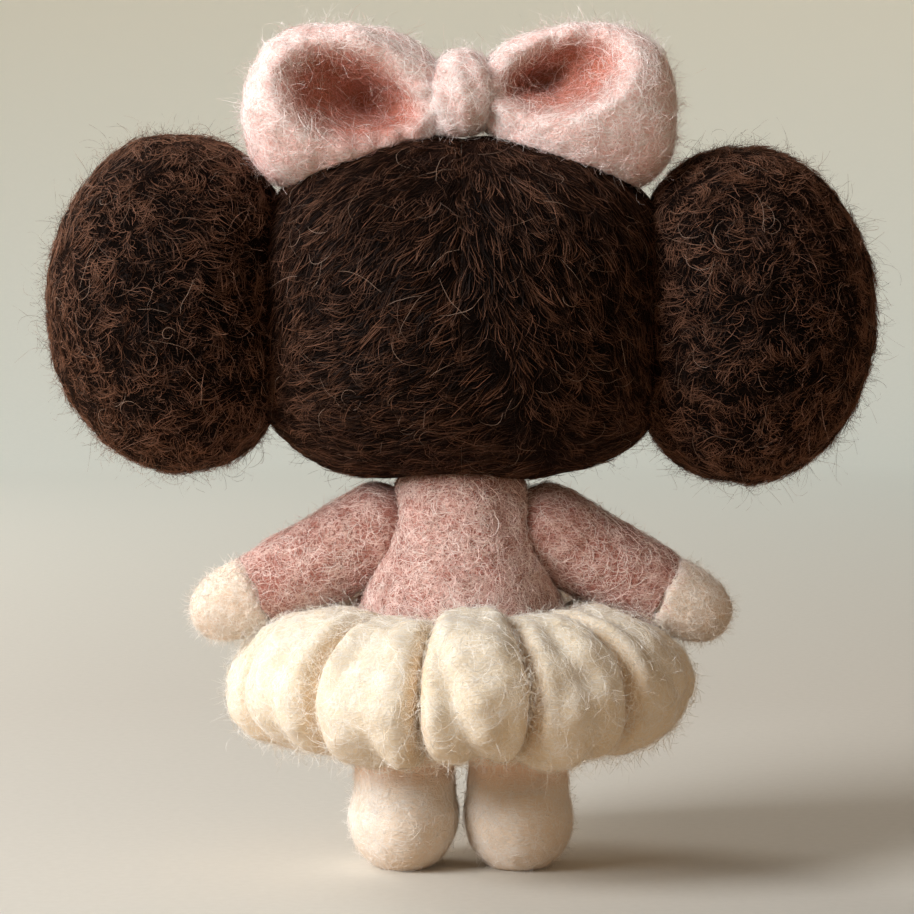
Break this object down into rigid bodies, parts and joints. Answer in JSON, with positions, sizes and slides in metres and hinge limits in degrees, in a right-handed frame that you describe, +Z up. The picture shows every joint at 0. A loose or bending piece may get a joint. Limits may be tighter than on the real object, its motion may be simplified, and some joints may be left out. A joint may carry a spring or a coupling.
{
  "type": "felt ballerina figurine",
  "caption": "Needle-felted doll in a bodice and puffed skirt, with side hair puffs and a bow, whose head turns and whose arms lift on a wire armature.",
  "frame": {"origin": "on the surface that the doll stands on, under the middle of its box, which is the spine wire's axis", "axes": "+Z up along the spine, -Y the way the face looks, +X towards the doll's left hand"},
  "size_m": [0.0974, 0.0538, 0.0996],
  "materials": {
    "skin_wool": "matt felted wool, pale peach cream",
    "core_wool": "matt felted wool, natural white",
    "pink_wool": "matt felted wool, dusty rose",
    "bow_wool": "matt felted wool, pale dusty pink",
    "cream_wool": "matt felted wool, ivory cream",
    "hair_wool": "combed felted wool, dark espresso brown",
    "blush_wool": "thin matt felted wool, soft rose",
    "mouth_thread": "matt cotton thread, muted red brown",
    "eye_thread": "matt cotton thread, dark brown",
    "wire": "bare drawn steel wire"
  },
  "bodies": {
    "torso": {"foot_left": "skin_wool", "foot_right": "skin_wool", "leg_left": "skin_wool", "leg_right": "skin_wool", "body_core": "core_wool", "bodice": "pink_wool", "skirt_puff_01": "cream_wool", "skirt_puff_02": "cream_wool", "skirt_puff_03": "cream_wool", "skirt_puff_04": "cream_wool", "skirt_puff_05": "cream_wool", "skirt_puff_06": "cream_wool", "skirt_puff_07": "cream_wool", "skirt_puff_08": "cream_wool", "skirt_puff_09": "cream_wool", "skirt_puff_10": "cream_wool", "skirt_puff_11": "cream_wool", "skirt_puff_12": "cream_wool", "spine_wire": "wire", "shoulder_wire": "wire", "leg_wire_left": "wire", "leg_wire_right": "wire"},
    "head": {"head_core": "skin_wool", "nose": "skin_wool", "mouth_stitch": "mouth_thread", "eye_left": "eye_thread", "eye_right": "eye_thread", "cheek_left": "blush_wool", "cheek_right": "blush_wool", "hair_left": "hair_wool", "hair_right": "hair_wool", "fringe_left": "hair_wool", "fringe_right": "hair_wool", "hair_puff_left": "hair_wool", "hair_puff_right": "hair_wool", "bow_knot": "bow_wool", "bow_loop_left": "bow_wool", "bow_loop_right": "bow_wool"},
    "left_arm": {"arm_left": "skin_wool", "sleeve_left": "pink_wool", "arm_wire_left": "wire"},
    "right_arm": {"arm_right": "skin_wool", "sleeve_right": "pink_wool", "arm_wire_right": "wire"}
  },
  "joints": [
    {"name": "neck_turn", "type": "hinge", "parent": "torso", "child": "head", "pos_m": [0, 0, 0.0522], "axis": [0, 0, 1], "range_deg": [-35, 35]},
    {"name": "left_arm_lift", "type": "hinge", "parent": "torso", "child": "left_arm", "pos_m": [0.01, 0, 0.0397], "axis": [0, -1, 0], "range_deg": [0, 28]},
    {"name": "right_arm_lift", "type": "hinge", "parent": "torso", "child": "right_arm", "pos_m": [-0.01, 0, 0.0397], "axis": [0, 1, 0], "range_deg": [0, 28]}
  ]
}
